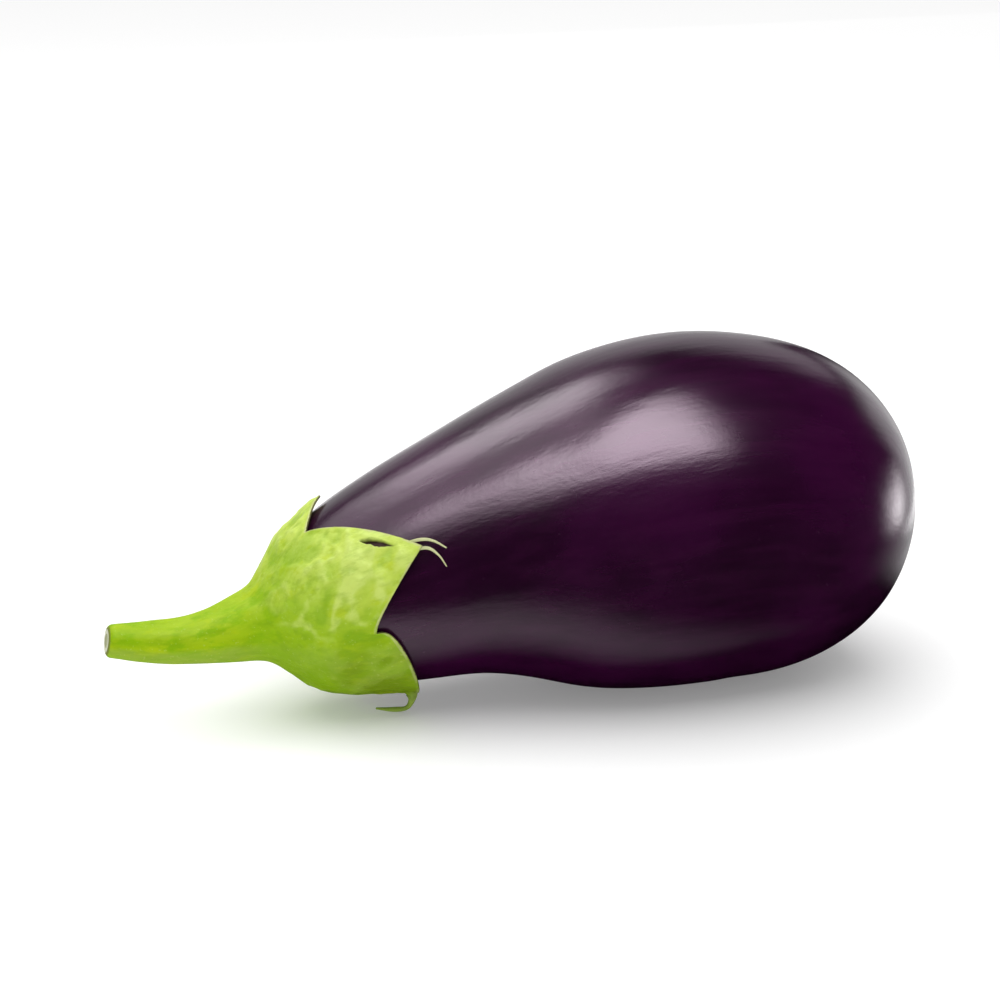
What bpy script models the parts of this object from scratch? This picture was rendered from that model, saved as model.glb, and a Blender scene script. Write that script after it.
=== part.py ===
"""Eggplant as picked: a glossy dark fruit lying on its side, capped by its green calyx and cut stem.

The fruit and the stem share one curved centreline in the XZ plane, with the stem towards -X.
The origin is on the small flat spot that the fruit rests on, and +Z is up.
"""
import math

import bmesh
import bpy
import numpy as np
from mathutils import Vector

MM = 0.001

# Centreline in millimetres, (x, z), from the cut end of the stem to the blossom end
CENTRELINE = (
    (-146.5, 26.2), (-133.0, 24.1), (-118.0, 24.3), (-109.0, 26.1), (-101.0, 27.5), (-90.0, 29.4), (-72.0, 34.2),
    (-55.0, 38.6), (-38.0, 41.4), (-21.0, 43.0), (-4.0, 44.9), (13.0, 46.1), (29.0, 44.6), (72.0, 37.5),
)
CROWN_X = -101.0  # where the flesh begins, under the calyx; distances along the centreline count from here

# Fruit radius in millimetres at a distance along the centreline, before its two ends are rounded off
FRUIT_RADIUS = (
    (0.0, 16.5), (11.4, 22.0), (29.9, 27.5), (47.4, 31.6), (64.6, 37.3), (81.7, 43.2), (98.8, 46.3), (115.8, 47.2),
    (131.9, 45.9), (177.3, 42.3),
)
CROWN_ROUNDING = 10.0
CROWN_POWER = 2.3
BLOSSOM_ROUNDING = 48.0
BLOSSOM_POWER = 2.3
SCAR_RADIUS = 3.5
SCAR_DEPTH = 0.7
FRUIT_COLUMNS = 48
CROWN_ROWS = 5
BODY_ROWS = 17
BLOSSOM_ROWS = 9

# Outer radius in millimetres of the stem and of the cap's shoulder, along the centreline
STEM_RADIUS = (
    (-45.9, 4.1), (-41.0, 4.5), (-35.0, 5.2), (-27.0, 5.8), (-20.0, 6.7), (-13.5, 7.9), (-9.0, 8.8), (-5.0, 10.3),
    (-2.0, 13.1), (0.0, 16.0), (2.5, 19.1), (5.0, 21.2), (8.0, 22.6),
)
CUT_END = -45.9
CUT_ROUNDING = 1.4
PITH_RADIUS = 1.7
PITH_DEPTH = 0.5
SHOULDER = 8.0  # from here on the cap follows the fruit
SHOULDER_THICKNESS = 1.6
EDGE_THICKNESS = 1.1
FIT_GAP = 0.55
STEM_RIB = 0.04
STEM_RIB_FADE = 12.0
CAP_RIB = 0.5

# Lobes of the calyx: notch angle and reach, tip angle and reach, powers of the edges that rise to the tip and
# fall from it, and lift of the tip off the fruit. Angles are in degrees round the centreline, 0 on top and 90
# on the -Y side; reaches along the centreline and lifts are in millimetres.
LOBES = (
    (-48.0, 12.5, -21.0, 20.5, 1.2, 1.1, 0.6),
    (12.5, 10.8, 57.0, 36.0, 0.9, 1.45, 0.4),
    (93.0, 18.6, 156.0, 27.1, 0.33, 1.2, 1.8),
    (188.0, 15.0, 220.0, 29.0, 1.2, 1.2, 1.2),
    (252.0, 14.0, 284.0, 27.0, 1.2, 1.3, 0.9),
)
SIDE_COLUMNS = 7
STEM_STEPS = (-43.0, -37.0, -30.0, -23.0, -16.0, -11.0, -7.0, -4.0, -1.5, 1.0, 3.5, 6.0)
CAP_ROWS = 8
LINING_ROWS = 5

# Thin points that end the torn lobe and the hooked lobe, as (along, angle, height over the fruit, radius)
POINTS = {
    "upper_strip": ((31.0, 52.0, 1.1, 0.6), (35.9, 53.8, 1.6, 0.75), (38.6, 56.8, 2.1, 0.55), (41.0, 62.0, 1.7, 0.3)),
    "lower_strip": ((31.0, 57.0, 1.1, 0.6), (36.4, 58.4, 1.6, 0.9), (38.6, 63.6, 1.9, 0.55), (39.6, 70.0, 1.5, 0.3)),
    "hook": (
        (23.8, 156.0, 2.1, 1.3), (24.8, 157.0, 3.4, 1.6), (24.2, 158.8, 5.4, 1.05), (22.5, 160.4, 7.2, 0.75),
        (19.6, 160.0, 7.3, 0.85), (15.6, 158.6, 6.6, 0.35),
    ),
}
POINT_STEPS = 10

# Lens-shaped tear in the torn lobe, between two ends given as (along, angle)
TEAR_ENDS = ((22.5, 41.6), (29.4, 51.6))
TEAR_HALF_WIDTH = 0.9
TEAR_HALF_DEPTH = 3.0

REST_BOX = (0.12, 0.08, 0.02)  # metres, with its top on the table


def smooth(table, at):
    """A smooth curve through the table's (position, value) pairs, read at one position or many."""
    x, y = (np.array(column, float) for column in zip(*table))
    slope = np.gradient(y, x)
    at = np.clip(at, x[0], x[-1])
    i = np.clip(np.searchsorted(x, at) - 1, 0, len(x) - 2)
    width = x[i + 1] - x[i]
    t = (at - x[i]) / width
    ends = y[i] * (1 + 2 * t) * (1 - t) ** 2 + y[i + 1] * t * t * (3 - 2 * t)
    return ends + width * (slope[i] * t * (1 - t) ** 2 - slope[i + 1] * t * t * (1 - t))


LINE_X = np.linspace(CENTRELINE[0][0], CENTRELINE[-1][0], 2000)
LINE_Z = smooth(CENTRELINE, LINE_X)
LINE_SLOPE = np.gradient(LINE_Z, LINE_X)
LINE_LENGTH = np.concatenate([[0.0], np.cumsum(np.hypot(np.diff(LINE_X), np.diff(LINE_Z)))])
LINE_LENGTH -= np.interp(CROWN_X, LINE_X, LINE_LENGTH)
FRUIT_LENGTH = LINE_LENGTH[-1]


def around(along, angle, radius):
    """The point at a distance along the centreline, an angle in degrees round it and a radius from it."""
    x, z, slope = (np.interp(along, LINE_LENGTH, line) for line in (LINE_X, LINE_Z, LINE_SLOPE))
    up = Vector((-slope, 0.0, 1.0)).normalized()
    side = Vector((0.0, -1.0, 0.0))
    out = math.cos(math.radians(angle)) * up + math.sin(math.radians(angle)) * side
    return (Vector((x, 0.0, z)) + out * float(radius)) * MM


def fruit_radius(along):
    """Radius of the fruit, with both ends rounded off."""
    crown = min(1.0, max(0.0, 1 - along / CROWN_ROUNDING))
    blossom = min(1.0, max(0.0, 1 - (FRUIT_LENGTH - along) / BLOSSOM_ROUNDING))
    ends = (1 - crown**CROWN_POWER) ** (1 / CROWN_POWER) * (1 - blossom**BLOSSOM_POWER) ** (1 / BLOSSOM_POWER)
    return float(smooth(FRUIT_RADIUS, along)) * ends


def over_skin(along, height):
    """(along, radius) of the fruit's skin, moved out square to it by a height."""
    step = 0.02
    before, after = max(0.0, along - step), along + step
    run, rise = after - before, fruit_radius(after) - fruit_radius(before)
    length = math.hypot(run, rise)
    return along - height * rise / length, fruit_radius(along) + height * run / length


def calyx_columns():
    """(angle, reach, share, lift) of each column: share runs from 0 in a notch to 1 at a lobe's tip."""
    columns = []
    for i, (notch_angle, notch, tip_angle, tip, rise, fall, lift) in enumerate(LOBES):
        next_angle, next_notch = LOBES[(i + 1) % len(LOBES)][:2]
        next_angle += 360 if next_angle < tip_angle else 0
        for step in np.linspace(0, 1, SIDE_COLUMNS, endpoint=False):
            share, part = step ** rise**-0.5, step ** rise**0.5
            angle = notch_angle + (tip_angle - notch_angle) * share
            columns.append((angle, notch + (tip - notch) * part, share, lift * share**2))
        for step in np.linspace(1, 0, SIDE_COLUMNS, endpoint=False):
            share, part = step ** fall**-0.5, step ** fall**0.5
            angle = next_angle + (tip_angle - next_angle) * share
            columns.append((angle, next_notch + (tip - next_notch) * part, share, lift * share**2))
    return columns


def calyx_rows():
    """The calyx's rings, as functions that give (along, radius) for a column, from the cut face to the crown."""
    def plain(along, radius):
        return lambda angle, reach, share, lift: (along, radius)

    def cut_corner(turn):
        along = CUT_END + CUT_ROUNDING * (1 - math.cos(turn))
        radius, inward = float(smooth(STEM_RADIUS, along)), CUT_ROUNDING * (1 - math.sin(turn))
        return lambda angle, reach, share, lift: (along, radius - inward)

    def stem(along):
        radius, fade = float(smooth(STEM_RADIUS, along)), min(1.0, (along - CUT_END) / STEM_RIB_FADE)
        return lambda angle, reach, share, lift: (along, radius * (1 - STEM_RIB * fade * math.cos(math.pi * share)))

    def cap(part, outer):
        def place(angle, reach, share, lift):
            along = SHOULDER + (reach - SHOULDER) * part
            thickness = SHOULDER_THICKNESS + (EDGE_THICKNESS - SHOULDER_THICKNESS) * part
            rib = -CAP_RIB * math.cos(math.pi * share) * (1 - part**2)
            return over_skin(along, FIT_GAP + lift * part**3 + outer * (thickness + rib))
        return place

    def lining(along):
        return lambda angle, reach, share, lift: over_skin(along, FIT_GAP)

    rows = [plain(CUT_END + PITH_DEPTH, 0.0), plain(CUT_END + PITH_DEPTH, PITH_RADIUS)]
    rows += [cut_corner(math.pi / 2 * i / 2) for i in range(3)]
    rows += [stem(along) for along in STEM_STEPS]
    rows += [cap(part, 1) for part in np.linspace(0, 1, CAP_ROWS)]
    rows += [cap(part, 0) for part in np.linspace(1, 0, CAP_ROWS)]
    rows += [lining(SHOULDER * (1 - math.sin(math.pi / 2 * i / LINING_ROWS))) for i in range(1, LINING_ROWS)]
    return rows + [plain(-FIT_GAP, 0.0)]


def fruit_rows():
    """The fruit's rings as (along, radius), from the crown to the scar at the blossom end."""
    rows = [CROWN_ROUNDING * (1 - math.cos(math.pi / 2 * i / CROWN_ROWS)) for i in range(CROWN_ROWS)]
    rows += list(np.linspace(CROWN_ROUNDING, FRUIT_LENGTH - BLOSSOM_ROUNDING, BODY_ROWS, endpoint=False))
    scar = math.asin(SCAR_RADIUS / BLOSSOM_ROUNDING)
    turns = list(np.linspace(0, math.pi / 2 - scar, BLOSSOM_ROWS)) + [math.pi / 2 - scar / 2, math.pi / 2]
    rows += [FRUIT_LENGTH - BLOSSOM_ROUNDING * (1 - math.sin(turn)) for turn in turns]
    return [(along - scar_depth(fruit_radius(along), along), fruit_radius(along)) for along in rows]


def scar_depth(radius, along):
    """How far the blossom end is pressed in at a radius from the centreline."""
    inside = max(0.0, 1 - (radius / SCAR_RADIUS) ** 2)
    return SCAR_DEPTH * inside if along > FRUIT_LENGTH / 2 else 0.0


def collection(name):
    """A new collection in the scene."""
    made = bpy.data.collections.new(name)
    bpy.context.scene.collection.children.link(made)
    return made


def material(name, colour, roughness):
    """A plain surface of one colour."""
    made = bpy.data.materials.new(name)
    made.use_nodes = True
    shader = made.node_tree.nodes["Principled BSDF"]
    shader.inputs["Base Color"].default_value = (*colour, 1.0)
    shader.inputs["Roughness"].default_value = roughness
    shader.inputs["Metallic"].default_value = 0.0
    return made


def ringed_body(name, rings, columns, place, into):
    """A UV sphere whose rings and poles are moved to place(ring, column)."""
    bm = bmesh.new()
    bmesh.ops.create_uvsphere(bm, u_segments=columns, v_segments=rings - 1, radius=1.0)
    for vertex in bm.verts:
        x, y, z = vertex.co
        ring = round((rings - 1) * math.atan2(math.hypot(x, y), z) / math.pi)
        column = round(columns * math.atan2(y, x) / math.tau) % columns
        vertex.co = place(ring, column)
    bmesh.ops.recalc_face_normals(bm, faces=bm.faces)
    mesh = bpy.data.meshes.new(name)
    bm.to_mesh(mesh)
    bm.free()
    mesh.shade_smooth()
    body = bpy.data.objects.new(name, mesh)
    into.objects.link(body)
    return body


def helper(body):
    """Marks an object as one that only cuts or joins."""
    body.hide_render = True
    body.display_type = "WIRE"


def boolean(body, other, operation):
    """Cuts from a body, or joins to it, another one."""
    modifier = body.modifiers.new(other.name, "BOOLEAN")
    modifier.operation = operation
    modifier.solver = "EXACT"
    modifier.object = other


def rest_cutter(into):
    """A box whose top is the table, which cuts the flat spot."""
    bm = bmesh.new()
    bmesh.ops.create_cube(bm, size=1.0)
    bmesh.ops.scale(bm, vec=REST_BOX, verts=bm.verts)
    bmesh.ops.translate(bm, vec=(0, 0, -REST_BOX[2] / 2), verts=bm.verts)
    mesh = bpy.data.meshes.new("rest_cutter")
    bm.to_mesh(mesh)
    bm.free()
    cutter = bpy.data.objects.new("rest_cutter", mesh)
    into.objects.link(cutter)
    helper(cutter)
    return cutter


def thin_point(name, stations, into):
    """A tapered tube along the stations, made a closed mesh that can be joined to the calyx."""
    stations = np.array(stations)
    at = np.arange(len(stations))
    steps = np.linspace(0, at[-1], POINT_STEPS)
    along, angle, height, radius = (smooth(list(zip(at, column)), steps) for column in stations.T)
    curve = bpy.data.curves.new(name, "CURVE")
    curve.dimensions = "3D"
    curve.bevel_depth = MM
    curve.bevel_resolution = 2
    curve.use_fill_caps = True
    spline = curve.splines.new("POLY")
    spline.points.add(POINT_STEPS - 1)
    for i, point in enumerate(spline.points):
        point.co = (*around(along[i], angle[i], fruit_radius(along[i]) + height[i]), 1.0)
        point.radius = radius[i]
    tube = bpy.data.objects.new(name, curve)
    into.objects.link(tube)
    graph = bpy.context.evaluated_depsgraph_get()
    mesh = bpy.data.meshes.new_from_object(tube.evaluated_get(graph))
    bm = bmesh.new()
    bm.from_mesh(mesh)
    bmesh.ops.remove_doubles(bm, verts=bm.verts, dist=1e-6)
    bmesh.ops.recalc_face_normals(bm, faces=bm.faces)
    bm.to_mesh(mesh)
    bm.free()
    bpy.data.objects.remove(tube)
    solid = bpy.data.objects.new(name, mesh)
    into.objects.link(solid)
    helper(solid)
    return solid


def tear_cutter(into):
    """A flattened ball, square to the fruit's skin, that cuts the tear."""
    ends = [around(along, angle, fruit_radius(along)) for along, angle in TEAR_ENDS]
    along, angle = np.mean(TEAR_ENDS, axis=0)
    middle = around(along, angle, fruit_radius(along))
    lengthways = (ends[1] - ends[0]).normalized()
    outward = (around(along, angle, fruit_radius(along) + 1) - middle).normalized()
    across = outward.cross(lengthways).normalized()
    outward = lengthways.cross(across)
    size = ((ends[1] - ends[0]).length / 2, TEAR_HALF_WIDTH * MM, TEAR_HALF_DEPTH * MM)
    bm = bmesh.new()
    bmesh.ops.create_uvsphere(bm, u_segments=16, v_segments=8, radius=1.0)
    for vertex in bm.verts:
        x, y, z = (value * half for value, half in zip(vertex.co, size))
        vertex.co = middle + x * lengthways + y * across + z * outward
    bmesh.ops.recalc_face_normals(bm, faces=bm.faces)
    mesh = bpy.data.meshes.new("tear_cutter")
    bm.to_mesh(mesh)
    bm.free()
    cutter = bpy.data.objects.new("tear_cutter", mesh)
    into.objects.link(cutter)
    helper(cutter)
    return cutter


def build_fruit(parts, cutters):
    """The dark fruit, with its flat spot and the scar at its blossom end."""
    rows = fruit_rows()

    def place(ring, column):
        along, radius = rows[ring]
        return around(along, 360 * column / FRUIT_COLUMNS, radius)

    fruit = ringed_body("fruit", len(rows), FRUIT_COLUMNS, place, parts)
    fruit.data.materials.append(material("fruit_skin", (0.030, 0.008, 0.030), 0.25))
    boolean(fruit, rest_cutter(cutters), "DIFFERENCE")


def build_calyx_and_stem(parts, cutters):
    """The green cap with its lobes, and the stem that it grew on, as one body."""
    rows, columns = calyx_rows(), calyx_columns()

    def place(ring, column):
        along, radius = rows[ring](*columns[column])
        return around(along, columns[column][0], radius)

    calyx = ringed_body("calyx_and_stem", len(rows), len(columns), place, parts)
    calyx.data.materials.append(material("calyx_green", (0.38, 0.55, 0.05), 0.55))
    for name, stations in POINTS.items():
        boolean(calyx, thin_point(name, stations, cutters), "UNION")
    boolean(calyx, tear_cutter(cutters), "DIFFERENCE")


def main():
    for old in list(bpy.data.objects):
        bpy.data.objects.remove(old)
    parts, cutters = collection("eggplant"), collection("cutters")
    build_fruit(parts, cutters)
    build_calyx_and_stem(parts, cutters)


main()
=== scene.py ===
"""Looks of the eggplant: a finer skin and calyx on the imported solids' own formulas, and its studio.

Lengths are in millimetres and angles in degrees unless a line says otherwise. Angle 0 is on top and 90 on
the -Y side. Distances along the centreline count from the crown, where the flesh begins under the calyx.
"""
import functools
import math

import bpy
import numpy as np
from mathutils import Matrix, Vector, noise


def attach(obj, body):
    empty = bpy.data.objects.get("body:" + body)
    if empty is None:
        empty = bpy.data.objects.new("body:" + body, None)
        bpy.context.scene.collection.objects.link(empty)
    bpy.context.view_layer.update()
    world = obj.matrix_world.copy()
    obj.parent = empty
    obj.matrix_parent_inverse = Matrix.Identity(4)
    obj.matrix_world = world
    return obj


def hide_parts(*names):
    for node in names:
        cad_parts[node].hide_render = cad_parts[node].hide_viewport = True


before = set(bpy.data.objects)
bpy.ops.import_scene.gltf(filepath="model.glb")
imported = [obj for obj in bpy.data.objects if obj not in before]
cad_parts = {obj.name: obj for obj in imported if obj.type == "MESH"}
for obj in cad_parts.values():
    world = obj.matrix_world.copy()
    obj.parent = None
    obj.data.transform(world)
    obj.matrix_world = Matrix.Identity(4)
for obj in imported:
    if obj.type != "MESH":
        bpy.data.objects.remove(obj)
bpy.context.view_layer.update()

MM = 0.001

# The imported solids' own shape, as in the part's source
CENTRELINE = (
    (-146.5, 26.2), (-133.0, 24.1), (-118.0, 24.3), (-109.0, 26.1), (-101.0, 27.5), (-90.0, 29.4),
    (-72.0, 34.2), (-55.0, 38.6), (-38.0, 41.4), (-21.0, 43.0), (-4.0, 44.9), (13.0, 46.1), (29.0, 44.6),
    (72.0, 37.5),
)
CROWN_X = -101.0
FRUIT_RADIUS = (
    (0.0, 16.5), (11.4, 22.0), (29.9, 27.5), (47.4, 31.6), (64.6, 37.3), (81.7, 43.2), (98.8, 46.3),
    (115.8, 47.2), (131.9, 45.9), (177.3, 42.3),
)
CROWN_ROUNDING = 10.0
BLOSSOM_ROUNDING = 48.0
ROUNDING_POWER = 2.3
SCAR_RADIUS = 3.5
SCAR_DEPTH = 0.7
STEM_RADIUS = (
    (-45.9, 4.1), (-41.0, 4.5), (-35.0, 5.2), (-27.0, 5.8), (-20.0, 6.7), (-13.5, 7.9), (-9.0, 8.8),
    (-5.0, 10.3), (-2.0, 13.1), (0.0, 16.0), (2.5, 19.1), (5.0, 21.2), (8.0, 22.6),
)
CUT_END = -45.9
CUT_ROUNDING = 1.4
PITH_RADIUS = 1.7
PITH_DEPTH = 0.5
SHOULDER = 8.0
NECK_END = 3.5
SHOULDER_THICKNESS = 1.6
EDGE_THICKNESS = 1.1
FIT_GAP = 0.55
STEM_RIB = 0.04
STEM_RIB_FADE = 12.0
CAP_RIB = 0.5
# Each lobe: notch angle and reach, tip angle and reach, powers of its rising and falling edges, tip lift
LOBES = (
    (-48.0, 12.5, -21.0, 20.5, 1.2, 1.1, 0.6),
    (12.5, 10.8, 57.0, 36.0, 0.9, 1.45, 0.4),
    (93.0, 18.6, 156.0, 27.1, 0.33, 1.2, 1.8),
    (188.0, 15.0, 220.0, 29.0, 1.2, 1.2, 1.2),
    (252.0, 14.0, 284.0, 27.0, 1.2, 1.3, 0.9),
)
POINTS = {  # stations of (along, angle, height over the fruit, radius)
    "upper_strip": (
        (31.0, 52.0, 1.1, 0.6), (35.9, 53.8, 1.6, 0.75), (38.6, 56.8, 2.1, 0.55), (41.0, 62.0, 1.7, 0.3),
    ),
    "lower_strip": (
        (31.0, 57.0, 1.1, 0.6), (36.4, 58.4, 1.6, 0.9), (38.6, 63.6, 1.9, 0.55), (39.6, 70.0, 1.5, 0.3),
    ),
    "hook": (
        (23.8, 156.0, 2.1, 1.3), (24.8, 157.0, 3.4, 1.6), (24.2, 158.8, 5.4, 1.05),
        (22.5, 160.4, 7.2, 0.75), (19.6, 160.0, 7.3, 0.85), (15.6, 158.6, 6.6, 0.35),
    ),
}
TEAR_ENDS = ((22.5, 41.6), (29.4, 51.6))
TEAR_HALF_WIDTH = 0.9

# How the tables are evened out, and how close the points of the meshes are
SAMPLE_STEP = 0.1
FRUIT_WINDOW = 26.0
STEM_WINDOW = 12.0
CROWN_RINGS, BODY_RINGS, BLOSSOM_RINGS, FRUIT_COLUMNS = 14, 100, 72, 240
FACE_RINGS, ROUNDING_RINGS, STEM_RINGS, BRIDGE_RINGS = 14, 8, 90, 12
CAP_RINGS, LINING_RINGS, LOBE_SIDE_COLUMNS = 50, 16, 44
BRIDGE_END, BRIDGE_AHEAD = 0.06, 0.12  # as parts of the way from the shoulder to the margin
SHOULDER_RINGS, SHOULDER_PASSES = 22, 90  # rings evened out on the stem, and twice as many on the cap
STRAND_RINGS, STRAND_COLUMNS = 40, 16
NO_EDGE = 9.0  # a distance that stands for far from any margin

# Relief that the solids leave out. Lumps have a height, size, seed and stretch. A fold has a height, the
# share of it that stands above the skin, and the lumps whose zero lines it follows.
REST_SOFTNESS = 0.4
FRUIT_LUMPS = ((0.30, 34, 1, 1.0), (0.13, 9, 2, 7.0))
LONG_LUMPS_FADE = (10, 25)  # radii of the fruit between which the second kind fades in
FRUIT_LUMPS_FADE = (0, 12)  # and between which all of them do
CAP_START = (-14, 6)  # distances along between which the stem's look gives way to the cap's
CALYX_RELIEF_FADE = (0.5, 4.0)  # radii between which all of the calyx's relief fades in
FINE_LUMPS = (0.12, 2.6, 3, 2.2)
BROAD_LUMPS = (5, 6, 2.2)  # no height, since theirs is less on the cap than on the stem
BROAD_HEIGHT, BROAD_HEIGHT_LOST_ON_CAP = 0.30, 0.14
SLANT = 1.0  # degrees that the cap's wrinkles turn in each millimetre along it
SLANTED_LUMPS = ((1.0, 8, 4, 2.2), (0.6, 4.2, 5, 1.8))
UPRIGHT_LUMPS = (0.35, 2.1, 7, 1.0)
FOLDS = ((1.0, 0.30, 7, 8, 1.5), (0.5, 0.25, 3.6, 9, 1.4))
FOLD_STRENGTH = 2.0
RIDGE_HEIGHT = 0.85
# Share of the ridges that is lost, and the lowness from and to which: 0 is on top of the cap and 1 under it
CALMER = ((0.6, 0.50, 0.80), (0.4, 0.15, 0.02))
MARGIN_FADE = (0, 3.0)
DEEPEST_FOLD = 0.7
MARGIN_SHARE = 0.36  # radius of the rounded margin, as a share of its thickness
LIP_HEIGHT = 0.16
TEAR_DEPTH = 0.7
# Each point of a lobe: how flat, how wide beside its stations, and how pale
STRANDS = {"upper_strip": (0.5, 0.60, 1.0), "lower_strip": (0.5, 0.48, 1.0), "hook": (0.8, 1.0, 0.2)}

# Colours, as linear red, green and blue, and the ranges of roughness and shine
SKIN = {
    "dark": (0.0125, 0.0002, 0.0103), "clouds": (0.026, 0.0006, 0.0215), "streaks": (0.042, 0.0026, 0.032),
    "pores": (0.13, 0.07, 0.11), "under_calyx": (0.22, 0.20, 0.12), "cork": (0.19, 0.105, 0.045),
    "pale_cork": (0.42, 0.29, 0.16), "gloss_tint": (1.0, 0.83, 0.95),
}
# Some calyx colours are partly or wholly painted light: the paler top and darker underside, the pale ridges
# (painted highlight), the dark creases and edge line (painted shade) and the dark tear (partly painted
# shade).
GREEN = {
    "sides": (0.33, 0.49, 0.002), "top": (0.545, 0.68, 0.11), "under_stem": (0.29, 0.42, 0.045),
    "under_cap": (0.165, 0.265, 0.003), "blotches": (0.20, 0.415, 0.0008), "yellow": (0.44, 0.555, 0.008),
    "belt": (0.255, 0.465, 0.0006), "clouds": (0.245, 0.435, 0.001), "ridge_highlight": (0.57, 0.70, 0.155),
    "crease_shade": (0.170, 0.355, 0.0008), "veins": (0.18, 0.33, 0.003), "specks": (0.60, 0.70, 0.20),
    "margin": (0.52, 0.54, 0.24), "rim_shadow": (0.07, 0.05, 0.02), "strips": (0.52, 0.54, 0.28),
    "tear": (0.040, 0.018, 0.016), "cut_rind": (0.19, 0.22, 0.035), "dull_cut": (0.42, 0.43, 0.29),
    "dry_cut": (0.78, 0.80, 0.62), "cut_ring": (0.20, 0.21, 0.08), "pith": (0.42, 0.44, 0.27),
}
SKIN_ROUGHNESS, GREEN_ROUGHNESS, GREEN_SHINE = (0.17, 0.25), (0.36, 0.54), (0.05, 0.12)
BLACK, WHITE, FLOOR_GREY = (0.0, 0.0, 0.0), (1.0, 1.0, 1.0), (0.85, 0.85, 0.85)

# Studio, in metres, with brightness beside a white of 1. The overhead light shades the object, and the
# cards show in its gloss alone. A card is a corner and two sides, and then patches, each a strength and the
# edges that it fades across, as (direction, distance along it where half is left, half width of the fade).
# The dark card's patches hide the floor from the gloss in front of the object, beside it and below it.
FLOOR = ((-6, -6, -0.0002), (12, 0, 0), (0, 12, 0))
FLOOR_LIFT, LIFT_UNDER_OBJECT, LIFT_REACH = 0.50, 0.4, 0.6
SURROUND = 0.50
DARK_CARD = ((-6, -6, 0.0005), (12, 0, 0), (0, 6.5, 0))
DARK_PATCHES = (
    (1.0, ((0.5, -1, 0), 0.045, 0.030)),
    (0.85, ((1, 0, 0), 0.09, 0.04), ((0, -1, 0), -0.35, 0.10)),
    (1.0, ((0.22, 1, 0), -0.044, 0.012), ((0, -1, 0), -0.045, 0.015)),
)
OVERHEAD_CENTRE = (-0.08, 0.06, 0.62)
OVERHEAD_SIZE = (0.82, 1.20)
OVERHEAD_BRIGHTNESS = 1.75
CARDS = {
    "ceiling": ((-0.70, -0.80, 0.60), (0.95, 0, 0), (0, 1.43, 0), (
        (11.5, ((1, 0, 0), -0.33, 0.12), ((-1, -0.31, 0), -0.05, 0.08), ((0.15, 1, 0), -0.45, 0.13),
         ((0.57, -1, 0), -0.035, 0.06)),
        (5.4, ((1, 0, 0), -0.44, 0.14), ((-1, 0, 0), 0.10, 0.10), ((0, 1, 0), -0.41, 0.14),
         ((0.57, -1, 0), -0.03, 0.07)),
        (6.3, ((1, 0, 0), -0.33, 0.13), ((-1, 0, 0), 0.02, 0.11), ((-0.5, 1, 0), 0.25, 0.10),
         ((0, -1, 0), -0.52, 0.07)),
        (2.0, ((1, 0, 0), -0.64, 0.10), ((-1, 0, 0), 0.10, 0.12), ((0, 1, 0), -0.56, 0.12)),
    )),
    "backdrop": ((-3.0, 1.2, 0.0), (7.5, 0, 0), (0, 0, 1.9), (
        (0.70, ((0.36, 0, -1), -0.90, 0.30), ((-1, 0, 0), -1.8, 0.4)),
        (0.45, ((0, 0, -1), -0.75, 0.25), ((0, 0, 1), 0.05, 0.05)),
    )),
    "right_card": ((0.205, -0.13, 0.001), (0, 0.43, 0), (0, 0, 0.17), (
        (7.4, ((0, 1, 0), -0.046, 0.030), ((0, -1, 0), -0.010, 0.026), ((0, 0, 1), 0.004, 0.024),
         ((0, 0, -1), -0.058, 0.026)),
        (1.15, ((0, 1, 0), 0.02, 0.03), ((0, -1, 0), -0.20, 0.08), ((0, 0, -1), -0.14, 0.03)),
    )),
    "low_card": ((0.09, -0.10, 0.0008), (0.11, 0, 0), (0, 0.35, 0), (
        (2.6, ((1, 0, 0), 0.155, 0.030), ((0, 1, 0), 0.01, 0.05), ((0, -1, 0), -0.16, 0.07)),
        (0.70, ((1, 0, 0), 0.110, 0.020), ((0, 1, 0), -0.03, 0.04), ((0, -1, 0), -0.17, 0.07)),
    )),
}
CAMERA_PLACE = (-0.2416, -0.6153, 0.2633)
CAMERA_TURN, CAMERA_RISE = -18, 18
LENS, SENSOR_WIDTH = 93.6, 36.0


def smooth(table, at):
    """A smooth curve through the table's (position, value) pairs, read at one position or many."""
    x, y = (np.array(column, float) for column in zip(*table))
    slope = np.gradient(y, x)
    at = np.clip(at, x[0], x[-1])
    i = np.clip(np.searchsorted(x, at) - 1, 0, len(x) - 2)
    width = x[i + 1] - x[i]
    t = (at - x[i]) / width
    ends = y[i] * (1 + 2 * t) * (1 - t) ** 2 + y[i + 1] * t * t * (3 - 2 * t)
    return ends + width * (slope[i] * t * (1 - t) ** 2 - slope[i + 1] * t * t * (1 - t))


def softened(table, window):
    """Close samples (x, y) of a table's curve, evened out over a window so that no joint shows in gloss."""
    at = np.arange(table[0][0], table[-1][0] + SAMPLE_STEP / 2, SAMPLE_STEP)
    weights = np.hanning(2 * round(window / 2 / SAMPLE_STEP) + 1)
    half = len(weights) // 2
    values = np.pad(smooth(table, at), half, "reflect", reflect_type="odd")
    return at, np.convolve(values, weights / weights.sum(), "valid")


LINE_X, LINE_Z = softened(CENTRELINE, FRUIT_WINDOW)
RADIUS_CURVE = softened(FRUIT_RADIUS, FRUIT_WINDOW)
STEM_CURVE = softened(STEM_RADIUS, STEM_WINDOW)
LINE_SLOPE = np.gradient(LINE_Z, LINE_X)
LINE_LENGTH = np.concatenate([[0.0], np.cumsum(np.hypot(np.diff(LINE_X), np.diff(LINE_Z)))])
LINE_LENGTH -= np.interp(CROWN_X, LINE_X, LINE_LENGTH)
FRUIT_LENGTH = LINE_LENGTH[-1]


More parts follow.
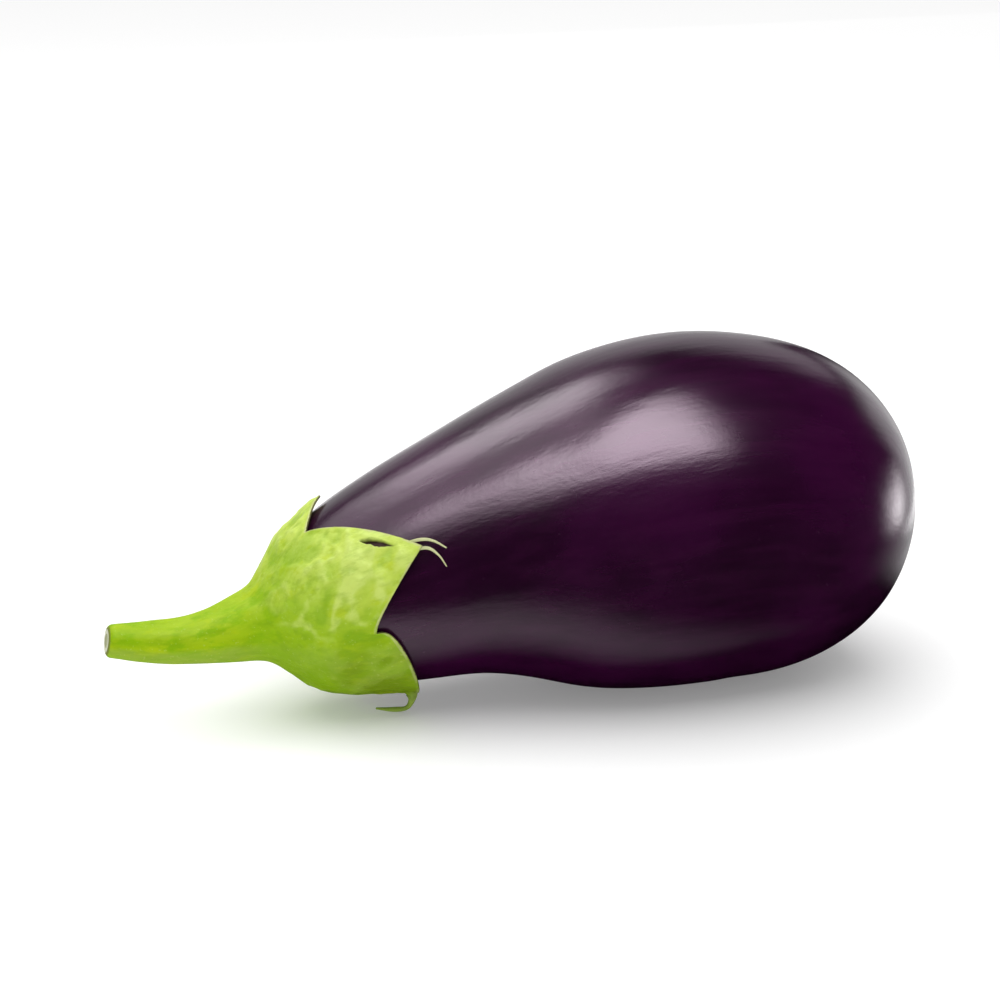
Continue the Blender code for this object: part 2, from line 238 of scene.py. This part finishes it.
def around(along, angle, radius):
    """Points, in metres, at distances along the centreline, angles round it and radii from it."""
    x, z, slope = (np.interp(along, LINE_LENGTH, line) for line in (LINE_X, LINE_Z, LINE_SLOPE))
    length = np.hypot(slope, 1.0)
    up, side = radius * np.cos(np.radians(angle)), radius * np.sin(np.radians(angle))
    return np.stack([x - up * slope / length, -side, z + up / length], -1) * MM


def unrolled(along, angle, radius):
    """The same points with the centreline straightened, in metres: where skin patterns are read."""
    turn = np.radians(angle)
    return np.stack([along + 0 * turn, radius * np.cos(turn), radius * np.sin(turn)], -1) * MM


def fruit_radius(along):
    """Radius of the fruit, with both ends rounded off."""
    crown = np.clip(1 - along / CROWN_ROUNDING, 0, 1) ** ROUNDING_POWER
    blossom = np.clip(1 - (FRUIT_LENGTH - along) / BLOSSOM_ROUNDING, 0, 1) ** ROUNDING_POWER
    return np.interp(along, *RADIUS_CURVE) * ((1 - crown) * (1 - blossom)) ** (1 / ROUNDING_POWER)


def over_skin(along, height):
    """(along, radius) of the fruit's skin, moved out square to it by a height."""
    step = 0.02
    before, after = np.maximum(0.0, along - step), along + step
    run, rise = after - before, fruit_radius(after) - fruit_radius(before)
    length = np.hypot(run, rise)
    return along - height * rise / length, fruit_radius(along) + height * run / length


def ease(value, low, high):
    """0 below low, 1 above high, and a smooth step between."""
    t = np.clip((value - low) / (high - low), 0, 1)
    return t * t * (3 - 2 * t)


def lumps(places, size, seed, stretch=1.0):
    """Soft random relief between about -1 and 1 at unrolled places, for lumps of a size in millimetres."""
    scale = np.array([1 / stretch, 1.0, 1.0]) / (size * MM)
    shift = np.array([17.3, 5.1, 9.7]) * seed
    flat = (places.reshape(-1, 3) * scale + shift).tolist()
    return np.array([noise.noise(Vector(place)) for place in flat]).reshape(places.shape[:-1])


def ringed_mesh(name, points, **attributes):
    """A closed mesh over a grid of rings and columns, whose first and last rings each are one point."""
    rings, columns = points.shape[:2]
    keep = np.r_[0, columns:(rings - 1) * columns + 1]
    faces = []
    last = (rings - 2) * columns + 1
    for column in range(columns):
        after = (column + 1) % columns
        faces.append((0, 1 + after, 1 + column))
        for ring in range(rings - 3):
            here = 1 + ring * columns
            faces.append((here + column, here + after, here + columns + after, here + columns + column))
        faces.append((last, last - columns + column, last - columns + after))
    mesh = bpy.data.meshes.new(name)
    mesh.from_pydata(points.reshape(-1, 3)[keep].tolist(), [], faces)
    for key, values in attributes.items():
        add_attribute(mesh, key, np.broadcast_to(values, points.shape[:2] + values.shape[2:]), keep)
    mesh.shade_smooth()
    return mesh


def add_attribute(mesh, key, values, keep):
    """Stores a number or a vector for each point of a mesh, for its material."""
    if values.ndim == 3:
        made = mesh.attributes.new(key, "FLOAT_VECTOR", "POINT")
        made.data.foreach_set("vector", values.reshape(-1, 3)[keep].ravel())
    else:
        made = mesh.attributes.new(key, "FLOAT", "POINT")
        made.data.foreach_set("value", values.ravel()[keep])


def piece(mesh, material, replaced):
    """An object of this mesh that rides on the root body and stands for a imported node."""
    made = bpy.data.objects.new(mesh.name, mesh)
    bpy.context.scene.collection.objects.link(made)
    mesh.materials.append(material)
    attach(made, "root")
    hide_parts(replaced)


class Surface:
    """A material that is built up from small steps on node sockets."""

    def __init__(self, name):
        self.material = bpy.data.materials.new(name)
        self.material.use_nodes = True
        self.tree = self.material.node_tree
        self.shader = self.tree.nodes["Principled BSDF"]

    def put(self, socket, value):
        """Joins a socket's input to another node, or sets it to a plain value."""
        if isinstance(value, bpy.types.NodeSocket):
            self.tree.links.new(value, socket)
        else:
            socket.default_value = value

    def node(self, kind, inputs, **settings):
        """A new node with its inputs and settings."""
        made = self.tree.nodes.new("ShaderNode" + kind)
        for key, value in settings.items():
            setattr(made, key, value)
        for key, value in inputs.items():
            self.put(made.inputs[key], value)
        return made

    def stored(self, key, output="Fac"):
        """What the mesh stores for each point under a name."""
        return self.node("Attribute", {}, attribute_name=key).outputs[output]

    def position(self):
        """Where the point that is shaded lies, in metres."""
        return self.node("NewGeometry", {}).outputs["Position"]

    def math(self, operation, *values):
        """One sum on numbers."""
        return self.node("Math", dict(enumerate(values)), operation=operation).outputs[0]

    def step(self, value, low, high):
        """0 at low, 1 at high, and a smooth step between, whichever of them is the larger."""
        inputs = {"Value": value, "From Min": low, "From Max": high}
        return self.node("MapRange", inputs, interpolation_type="SMOOTHSTEP").outputs["Result"]

    def largest(self, values):
        """The largest of some values."""
        return functools.reduce(lambda a, b: self.math("MAXIMUM", a, b), values)

    def product(self, values):
        """Some values multiplied together."""
        return functools.reduce(lambda a, b: self.math("MULTIPLY", a, b), values)

    def spread(self, value, low, high):
        """A value from 0 to 1 moved to run from low to high."""
        return self.node("MapRange", {"Value": value, "To Min": low, "To Max": high}).outputs["Result"]

    def noise(self, place, size, detail=3.0, roughness=0.5, stretch=(1.0, 1.0, 1.0)):
        """Noise from 0 to 1 whose lumps are about a size in millimetres, drawn out by stretch."""
        scale = [1 / (size * MM * s) for s in stretch]
        at = self.node("Mapping", {"Vector": place, "Scale": scale}).outputs["Vector"]
        inputs = {"Vector": at, "Scale": 1.0, "Detail": detail, "Roughness": roughness}
        return self.node("TexNoise", inputs).outputs["Fac"]

    def mix(self, factor, first, second):
        """The first colour where the factor is 0, and the second where it is 1."""
        first, second = ((*c, 1.0) if isinstance(c, tuple) else c for c in (first, second))
        return self.node("Mix", {0: factor, 6: first, 7: second}, data_type="RGBA").outputs[2]

    def tinted(self, colour, tint, *covers):
        """A colour with a tint laid over it, as strongly as the product of its covers."""
        return self.mix(self.product(covers), colour, tint)

    def bump(self, height, distance, under=None):
        """A bump whose height, from 0 to 1, stands for a distance in millimetres."""
        inputs = {"Height": height, "Distance": distance * MM, "Strength": 1.0}
        if under:
            inputs["Normal"] = under
        return self.node("Bump", inputs).outputs["Normal"]

    def finish(self, **inputs):
        """Sets the shader's own inputs and gives the material."""
        for key, value in inputs.items():
            value = (*value, 1.0) if isinstance(value, tuple) else value
            self.put(self.shader.inputs[key.replace("_", " ")], value)
        return self.material


def fruit_material():
    """Near-black purple skin with redder cloudy places and faint streaks, and a corky scar at its end."""
    s = Surface("eggplant_skin")
    place = s.stored("place", "Vector")
    clouds = s.step(s.noise(place, 42, 3), 0.38, 0.66)
    colour = s.mix(clouds, SKIN["dark"], SKIN["clouds"])
    streaks = s.step(s.noise(place, 3.5, 4, 0.6, (9.0, 1.0, 1.0)), 0.35, 0.8)
    colour = s.tinted(colour, SKIN["streaks"], streaks, 0.35)
    pores = s.step(s.noise(place, 0.9, 2), 0.70, 0.78)
    colour = s.tinted(colour, SKIN["pores"], pores, 0.10)
    sheltered = s.step(s.stored("along"), 0.010, 0.004)
    colour = s.tinted(colour, SKIN["under_calyx"], sheltered, 0.6)
    wander = s.product((s.noise(place, 1.6, 4, 0.6), 0.6))
    scar = s.step(s.math("ADD", s.stored("scar"), wander), 1.45, 1.05)
    cork = s.mix(s.noise(place, 0.5, 3, 0.7), SKIN["cork"], SKIN["pale_cork"])
    colour = s.mix(scar, colour, cork)
    gloss = s.spread(s.noise(place, 5, 4, 0.6, (2.5, 1.0, 1.0)), *SKIN_ROUGHNESS)
    gloss = s.math("ADD", gloss, s.product((scar, 0.4)))
    fine = s.bump(s.noise(place, 0.9, 4, 0.65, (1.3, 1.0, 1.0)), 0.026)
    brushed = s.bump(s.noise(place, 3.0, 4, 0.6, (7.0, 1.0, 1.0)), 0.075, fine)
    normal = s.bump(s.noise(place, 6, 3, 0.5, (3.0, 1.0, 1.0)), 0.085, brushed)
    return s.finish(Base_Color=colour, Roughness=gloss, Normal=normal, Specular_Tint=SKIN["gloss_tint"])


def mottled_green(s, place, on_cap, low, under):
    """The calyx's ground colour, blotched and clouded all over: paler on top and duller below, partly its
    own green and partly painted light and shade.
    """
    # Paler on top and darker underneath: partly the calyx's own colour, partly painted light above and
    # painted shade below.
    high = s.product((s.step(low, 0.62, 0.10), s.spread(on_cap, 0.15, 1.0)))
    colour = s.mix(high, GREEN["sides"], GREEN["top"])
    colour = s.tinted(colour, s.mix(on_cap, GREEN["under_stem"], GREEN["under_cap"]), under, 0.90)
    blotches = s.step(s.noise(place, 5, 4, 0.6, (2.2, 1.0, 1.0)), 0.48, 0.62)
    on_stem = s.step(on_cap, 1.0, 0.0)
    colour = s.tinted(colour, GREEN["blotches"], blotches, on_stem, s.spread(under, 0.75, 0.3))
    yellow = s.step(s.noise(place, 3.5, 5, 0.65, (1.8, 1.0, 1.0)), 0.50, 0.66)
    colour = s.tinted(colour, GREEN["yellow"], yellow, s.spread(under, 0.6, 0.25))
    along = s.stored("along")
    belt = (s.step(along, -0.018, -0.004), s.step(along, 0.014, 0.002), s.step(low, 0.10, 0.32), 0.55)
    colour = s.tinted(colour, GREEN["belt"], *belt)
    clouds = s.step(s.noise(place, 11, 5, 0.6, (1.8, 1.0, 1.0)), 0.42, 0.62)
    return s.tinted(colour, GREEN["clouds"], clouds, 0.45), high


def with_margin(s, place, under, colour):
    """A colour with the calyx's patchy tan margin over it, and a painted shadow line along its very edge.
    """
    ragged = s.math("ADD", s.stored("edge"), s.product((s.noise(place, 1.2, 3, 0.7), -0.7)))
    patchy = s.spread(s.step(s.noise(place, 5, 2), 0.40, 0.60), 0.12, 0.75)
    margin = (s.step(ragged, 0.25, -0.15), patchy, s.spread(under, 1.0, 0.6))
    colour = s.tinted(colour, GREEN["margin"], *margin)
    # Painted shadow: a dark line along the margin's outermost edge.
    return s.tinted(colour, GREEN["rim_shadow"], s.step(ragged, -0.60, -0.78), 0.85)


def with_cut_end(s, place, colour):
    """A colour with the stem's cut end over it: a dull rind, the dry face, a ring in it and the pith."""
    cut = s.stored("cut")
    dry = s.mix(s.noise(place, 0.5, 3, 0.7), GREEN["dull_cut"], GREEN["dry_cut"])
    colour = s.mix(s.step(cut, 0.10, 0.40), colour, GREEN["cut_rind"])
    colour = s.mix(s.step(cut, 0.74, 0.92), colour, dry)
    colour = s.mix(s.step(cut, 1.05, 1.4), colour, GREEN["cut_ring"])
    return s.mix(s.step(cut, 1.65, 1.95), colour, GREEN["pith"])


def calyx_material():
    """Mottled green with ridges paled by painted highlights, creases darkened by painted shade, a thin tan
    margin, a streaked stem and a dry cut end.
    """
    s = Surface("calyx_and_stem_green")
    place, low, ridge = s.stored("place", "Vector"), s.stored("low"), s.stored("ridge")
    on_cap = s.step(s.stored("along"), -0.012, 0.010)
    under = s.step(low, 0.50, 0.68)
    colour, high = mottled_green(s, place, on_cap, low, under)
    # Painted highlight: the ridges are paled where the cap faces up towards the light, and much less
    # underneath.
    ridge_highlight = s.step(s.math("ADD", ridge, s.noise(place, 4, 4, 0.6)), 0.55, 1.30)
    lit = s.spread(s.step(low, 0.34, 0.60), 1.0, 0.15)
    colour = s.tinted(colour, GREEN["ridge_highlight"], ridge_highlight, on_cap, lit, 0.85)
    # Painted shade: the hollows between the cap's folds are darkened, less so underneath and on top.
    crease_shade = (s.step(ridge, -0.05, -0.85), s.spread(under, 0.60, 0.35), s.spread(high, 1.0, 0.60))
    colour = s.tinted(colour, GREEN["crease_shade"], *crease_shade)
    veins = s.step(s.noise(place, 2.0, 4, 0.6, (4.0, 1.0, 1.0)), 0.45, 0.72)
    colour = s.tinted(colour, GREEN["veins"], veins, 0.38)
    specks = s.step(s.noise(place, 0.9, 2), 0.62, 0.74)
    colour = s.tinted(colour, GREEN["specks"], specks, 0.20)
    colour = with_margin(s, place, under, colour)
    colour = s.mix(s.stored("strand"), colour, GREEN["strips"])
    # The tear's dark brown is partly the torn tissue's own colour and partly painted shade of the open
    # slit.
    colour = s.mix(s.stored("tear"), colour, GREEN["tear"])
    colour = with_cut_end(s, place, colour)
    gloss = s.spread(s.noise(place, 3, 3), *GREEN_ROUGHNESS)
    fine = s.bump(s.noise(place, 0.9, 4, 0.6, (1.6, 1.0, 1.0)), 0.10)
    normal = s.bump(s.noise(place, 3.2, 3, 0.55, (1.8, 1.0, 1.0)), 0.45, fine)
    shine = s.spread(on_cap, *GREEN_SHINE)
    return s.finish(Base_Color=colour, Roughness=gloss, Normal=normal, Specular_IOR_Level=shine)


def build_fruit():
    """The fruit's skin: the source's rings, closer together, with soft lumps and long shallow ridges."""
    quarter = math.pi / 2
    crown = CROWN_ROUNDING * (1 - np.cos(np.linspace(0, quarter, CROWN_RINGS)))
    body = np.linspace(CROWN_ROUNDING, FRUIT_LENGTH - BLOSSOM_ROUNDING, BODY_RINGS)[1:-1]
    blossom = FRUIT_LENGTH - BLOSSOM_ROUNDING * (1 - np.sin(np.linspace(0, quarter, BLOSSOM_RINGS)))
    along = np.concatenate([crown, body, blossom])[:, None]
    angle = np.linspace(0, 360, FRUIT_COLUMNS, endpoint=False)[None, :]
    radius = fruit_radius(along)
    place = unrolled(along, angle, radius)
    soft, long = (height * lumps(place, size, seed, stretch) for height, size, seed, stretch in FRUIT_LUMPS)
    relief = (soft + long * ease(radius, *LONG_LUMPS_FADE)) * ease(radius, *FRUIT_LUMPS_FADE)
    blossom_half = along > FRUIT_LENGTH / 2
    inside = np.clip(1 - (radius / SCAR_RADIUS) ** 2, 0, 1) * blossom_half
    points = around(along - SCAR_DEPTH * inside, angle, radius + relief)
    points[..., 2] = (points[..., 2] + np.hypot(points[..., 2], REST_SOFTNESS * MM)) / 2
    scar = np.where(blossom_half, radius / SCAR_RADIUS, NO_EDGE)
    level = 0 * angle
    mesh = ringed_mesh("fruit_skin", points, place=place, along=along * MM + level, scar=scar + level)
    piece(mesh, fruit_material(), "fruit")


def calyx_columns():
    """Each column's angle, reach, share and lift: share runs from 0 in a notch to 1 at a lobe's tip."""
    columns = []
    for i, (notch_angle, notch, tip_angle, tip, rise, fall, lift) in enumerate(LOBES):
        next_angle, next_notch = LOBES[(i + 1) % len(LOBES)][:2]
        next_angle += 360 if next_angle < tip_angle else 0
        step = np.linspace(0, 1, LOBE_SIDE_COLUMNS, endpoint=False)
        share, part = step ** rise**-0.5, step ** rise**0.5
        angle = notch_angle + (tip_angle - notch_angle) * share
        columns.append((angle, notch + (tip - notch) * part, share, lift * share**2))
        share, part = (1 - step) ** fall**-0.5, (1 - step) ** fall**0.5
        angle = next_angle + (tip_angle - next_angle) * share
        columns.append((angle, next_notch + (tip - next_notch) * part, share, lift * share**2))
    return np.concatenate(columns, axis=1)


def calyx_rings(reach, share, lift):
    """(along, radius, edge, cut, outer) of each ring, from the cut face over the skin to the lining.

    Edge is the way to the margin, cut is 1 or 2 on the cut face, and outer is 1 on the skin and 0 on the
    lining. The numbers between which the rings are evened out round the shoulder are given too.
    """
    ones = np.ones_like(share)
    rings = []

    def ring(along, radius, edge=NO_EDGE, cut=0.0, outer=1.0):
        rings.append([value * ones for value in (along, radius, edge, cut, outer)])

    def stem(along):
        fade = min(1.0, (along - CUT_END) / STEM_RIB_FADE)
        rib = 1 - STEM_RIB * fade * np.cos(math.pi * share)
        return along * ones, np.interp(along, *STEM_CURVE) * rib

    def cap(part):
        along = SHOULDER + (reach - SHOULDER) * part
        thickness = SHOULDER_THICKNESS + (EDGE_THICKNESS - SHOULDER_THICKNESS) * part
        rib = -CAP_RIB * np.cos(math.pi * share) * (1 - part**2)
        return over_skin(along, FIT_GAP + lift * part**3 + thickness + rib)

    face = np.interp(CUT_END, *STEM_CURVE) - CUT_ROUNDING
    for radius in np.linspace(0, 1, FACE_RINGS, endpoint=False) * (face + 0.2):
        dish = PITH_DEPTH * (1 - ease(radius, PITH_RADIUS * 0.6, PITH_RADIUS * 1.25))
        ring(CUT_END + dish, radius, cut=2.0 if radius < PITH_RADIUS else 1.0)
    for turn in np.linspace(0.15, math.pi / 2, ROUNDING_RINGS):
        along = CUT_END + CUT_ROUNDING * (1 - math.cos(turn))
        radius = np.interp(along, *STEM_CURVE) - CUT_ROUNDING * (1 - math.sin(turn))
        ring(along, radius, cut=max(0.0, 1 - turn))
    for along in np.linspace(CUT_END + CUT_ROUNDING, NECK_END, STEM_RINGS)[1:]:
        ring(*stem(along))
    shoulder = len(rings) - SHOULDER_RINGS, len(rings) + 2 * SHOULDER_RINGS
    before, after = (np.array(stem(along)) for along in (NECK_END - 1.0, NECK_END))
    first, second = (np.array(cap(part)) for part in (BRIDGE_END, BRIDGE_AHEAD))
    for t in np.linspace(0, 1, BRIDGE_RINGS)[1:-1]:
        bridge = after + t * (first - after)
        bend_in, bend_out = (after - before) * 4 - (first - after), (first - after) - (second - first)
        ring(*(bridge + t * (1 - t) * ((1 - t) * bend_in + t * bend_out)), edge=reach - SHOULDER)
    for part in np.linspace(BRIDGE_END, 1, CAP_RINGS):
        ring(*cap(part), edge=(reach - SHOULDER) * (1 - part))
    half = EDGE_THICKNESS * MARGIN_SHARE
    for turn in np.linspace(0, math.pi, ROUNDING_RINGS)[1:-1]:
        height = FIT_GAP + lift + EDGE_THICKNESS - half * (1 - math.cos(turn))
        ring(*over_skin(reach + half * math.sin(turn), height), edge=-0.5 * math.sin(turn), outer=0.5)
    for part in np.linspace(1, 0, LINING_RINGS):
        along = SHOULDER + (reach - SHOULDER) * part
        height = FIT_GAP + (lift + EDGE_THICKNESS - 2 * half) * part**3
        ring(*over_skin(along, height), edge=reach - along, outer=0.0)
    for turn in np.linspace(0, math.pi / 2, ROUNDING_RINGS)[1:-1]:
        ring(*over_skin(SHOULDER * (1 - math.sin(turn)), FIT_GAP), outer=0.0)
    ring(-FIT_GAP, 0.0, outer=0.0)
    return np.array(rings).transpose(1, 0, 2), shoulder


def even_out(lines, first, last):
    """Rounds off the bends of some lines of rings between two rings, most of all halfway."""
    bell = 0.25 * np.sin(np.linspace(0, math.pi, last - first))[:, None] ** 2
    for _ in range(SHOULDER_PASSES):
        for line in lines:
            line[first:last] += bell * np.diff(line[first - 1:last + 1], 2, axis=0)


def tear_depth(along, angle, radius):
    """How far inside the lens-shaped tear a place is: 1 on its middle line and 0 from its edge outwards."""
    (a0, t0), (a1, t1) = TEAR_ENDS
    middle = radius * math.radians((t0 + t1) / 2)
    u, v = along - (a0 + a1) / 2, radius * np.radians(angle) - middle
    du, dv = a1 - a0, float(fruit_radius((a0 + a1) / 2)) * math.radians(t1 - t0)
    length = math.hypot(du, dv)
    lengthways, across = (u * du + v * dv) / length, (v * du - u * dv) / length
    bow = TEAR_HALF_WIDTH * (1 - (2 * lengthways / length) ** 2)
    return np.where(bow > 0, 1 - np.abs(across) / np.maximum(bow, 1e-6), -9.0)


def cap_ridges(along, angle, radius, place):
    """The cap's crumpled ridges and sharp folds, above 0, and the hollows between them, below it."""
    slanted = unrolled(along, angle + SLANT * along, radius)
    folds = sum(height * (crest - np.abs(lumps(slanted, *shape))) for height, crest, *shape in FOLDS)
    ridges = sum(height * lumps(slanted, *shape) for height, *shape in SLANTED_LUMPS)
    height, *shape = UPRIGHT_LUMPS
    return ridges + height * lumps(place, *shape) + FOLD_STRENGTH * folds


def build_calyx(material):
    """The calyx and stem as one skin: cut face, stem, cap with its lobes, rounded margin and lining."""
    angle, reach, share, lift = calyx_columns()
    (along, radius, edge, cut, outer), shoulder = calyx_rings(reach, share, lift)
    even_out((along, radius), *shoulder)
    place = unrolled(along, angle, radius)
    on_cap = ease(along, *CAP_START)
    ridge = cap_ridges(along, angle, radius, place) * on_cap
    low = 0.5 - 0.5 * np.cos(np.radians(angle)) + 0 * along
    wrinkled = math.prod(1 - lost * ease(low, *between) for lost, *between in CALMER)
    height, *shape = FINE_LUMPS
    relief = height * lumps(place, *shape)
    relief += (BROAD_HEIGHT - BROAD_HEIGHT_LOST_ON_CAP * on_cap) * lumps(place, *BROAD_LUMPS)
    relief += RIDGE_HEIGHT * ridge * wrinkled * ease(edge, *MARGIN_FADE)
    relief = np.where(relief < 0, DEEPEST_FOLD * np.tanh(relief / DEEPEST_FOLD), relief)
    relief *= ease(radius, *CALYX_RELIEF_FADE) * outer
    tear = tear_depth(along, angle, radius)
    open_tear = ease(tear, 0.0, 0.22)
    lips = LIP_HEIGHT * np.exp(-((tear / 0.5) ** 2)) * (tear > -2) * (outer == 1)
    radius = radius + (relief + lips) * (1 - open_tear) - TEAR_DEPTH * open_tear * (outer == 1)
    mesh = ringed_mesh(
        "calyx_and_stem_green", around(along, angle, radius), place=place, along=along * MM,
        edge=edge, cut=cut, ridge=ridge, tear=ease(tear, 0.05, 0.3), low=low, strand=0 * low,
    )
    piece(mesh, material, "calyx_and_stem")


def strand(name, flatness, width):
    """The rings of a tapered thin point of a lobe, bent along its stations, and how far along each lies."""
    stations = np.array(POINTS[name])
    at = np.arange(len(stations))
    steps = np.linspace(0, at[-1], STRAND_RINGS)
    along, angle, height, thick = (smooth(list(zip(at, column)), steps) for column in stations.T)
    line = around(along, angle, fruit_radius(along) + height)
    out = around(along, angle, fruit_radius(along) + height + 1) - line
    out /= np.linalg.norm(out, axis=1)[:, None]
    ahead = np.gradient(line, axis=0)
    ahead /= np.linalg.norm(ahead, axis=1)[:, None]
    side = np.cross(out, ahead)
    side /= np.linalg.norm(side, axis=1)[:, None]
    out = np.cross(ahead, side)
    turn = np.linspace(0, math.tau, STRAND_COLUMNS, endpoint=False)[None, :, None]
    ring = np.cos(turn) * side[:, None] + flatness * np.sin(turn) * out[:, None]
    points = line[:, None] + ring * (width * thick * MM)[:, None, None]
    points = np.concatenate([points[:1] * 0 + line[0], points, points[:1] * 0 + line[-1]])
    return points, np.concatenate([along[:1], along, along[-1:]])


def build_strands(material):
    """The two torn strips and the curled hook, in the calyx's own material."""
    for name, (flatness, width, pale) in STRANDS.items():
        points, along = strand(name, flatness, width)
        rows = np.linspace(0, 1, len(points))[:, None] + np.zeros(points.shape[1])
        none = 0 * rows
        mesh = ringed_mesh(
            name, points, place=points, along=along[:, None] * MM + none, edge=NO_EDGE + none, cut=none,
            ridge=none, tear=none, low=(1 - pale) + none, strand=pale * ease(rows, 0.02, 0.3),
        )
        piece(mesh, material, "calyx_and_stem")


def overhead_light():
    """A soft level light that shades the object and the floor, and doesn't show in their gloss."""
    data = bpy.data.lights.new("overhead", "AREA")
    data.shape = "RECTANGLE"
    data.size, data.size_y = OVERHEAD_SIZE
    data.energy = OVERHEAD_BRIGHTNESS * math.pi * data.size * data.size_y
    light = bpy.data.objects.new("overhead", data)
    bpy.context.scene.collection.objects.link(light)
    light.location = OVERHEAD_CENTRE
    light.visible_camera = light.visible_glossy = False


def panel(name, corner, first, second, material):
    """A flat four-sided card from a corner and two sides, in metres."""
    corner, first, second = (np.array(v, float) for v in (corner, first, second))
    points = (corner, corner + first, corner + first + second, corner + second)
    mesh = bpy.data.meshes.new(name)
    mesh.from_pydata([point.tolist() for point in points], [], [(0, 1, 2, 3)])
    mesh.materials.append(material)
    made = bpy.data.objects.new(name, mesh)
    bpy.context.scene.collection.objects.link(made)
    return made


def gloss_only(card):
    """Leaves a card to be seen in gloss alone."""
    card.visible_camera = card.visible_diffuse = card.visible_shadow = False


def soft_patches(s, patches):
    """The strongest of some patches at each place, each fading across its own edges."""
    place = s.position()
    shapes = []
    for strength, *edges in patches:
        parts = []
        for direction, half, soft in edges:
            along = s.node("VectorMath", {0: place, 1: direction}, operation="DOT_PRODUCT").outputs["Value"]
            parts.append(s.step(along, half - soft, half + soft))
        shapes.append(s.product((*parts, strength)))
    return s.largest(shapes)


def glowing_material(name, patches):
    """Black that glows in soft patches."""
    s = Surface(name)
    glow = soft_patches(s, patches)
    return s.finish(
        Base_Color=BLACK, Roughness=1.0, Specular_IOR_Level=0.0,
        Emission_Color=WHITE, Emission_Strength=glow,
    )


def dark_material():
    """Black in soft patches, and see-through elsewhere."""
    s = Surface("card_black")
    cover = soft_patches(s, DARK_PATCHES)
    return s.finish(Base_Color=BLACK, Roughness=1.0, Specular_IOR_Level=0.0, Alpha=cover)


def floor_material():
    """White that its own glow lifts a little, and more so far from the object."""
    s = Surface("floor_white")
    away = s.node("VectorMath", {0: s.position()}, operation="LENGTH").outputs["Value"]
    squared = s.math("POWER", s.math("DIVIDE", away, LIFT_REACH), 2.0)
    near = s.math("DIVIDE", 1.0, s.math("ADD", 1.0, squared))
    lift = s.product((s.spread(s.math("POWER", near, 2.0), 1.0, LIFT_UNDER_OBJECT), FLOOR_LIFT))
    return s.finish(Base_Color=FLOOR_GREY, Roughness=0.9, Emission_Color=WHITE, Emission_Strength=lift)


def stage():
    """A plain pale floor, a pale surround, and soft studio lights overhead."""
    panel("floor", *FLOOR, floor_material())
    gloss_only(panel("dark_card", *DARK_CARD, dark_material()))
    world = bpy.data.worlds.new("surround")
    world.use_nodes = True
    background = world.node_tree.nodes["Background"]
    background.inputs["Color"].default_value = (*WHITE, 1.0)
    background.inputs["Strength"].default_value = SURROUND
    world.cycles_visibility.glossy = False
    bpy.context.scene.world = world
    overhead_light()
    for name, (*sides, patches) in CARDS.items():
        gloss_only(panel(name, *sides, glowing_material(name, patches)))


def camera():
    """The photo's own view: a long lens from the left of square on, and from above."""
    turn, rise = math.radians(CAMERA_TURN), math.radians(CAMERA_RISE)
    back = Vector((math.sin(turn) * math.cos(rise), -math.cos(turn) * math.cos(rise), math.sin(rise)))
    right = Vector((math.cos(turn), math.sin(turn), 0.0))
    data = bpy.data.cameras.new("camera")
    data.lens = LENS
    data.sensor_width = SENSOR_WIDTH
    made = bpy.data.objects.new("camera", data)
    bpy.context.scene.collection.objects.link(made)
    axes = Matrix((right, back.cross(right), back)).transposed()
    made.matrix_world = Matrix.Translation(CAMERA_PLACE) @ axes.to_4x4()
    bpy.context.scene.camera = made
    bpy.context.scene.view_settings.view_transform = "Standard"


def main():
    """Sets the camera and the stage, and builds the pieces."""
    camera()
    stage()
    build_fruit()
    green = calyx_material()
    build_calyx(green)
    build_strands(green)


main()
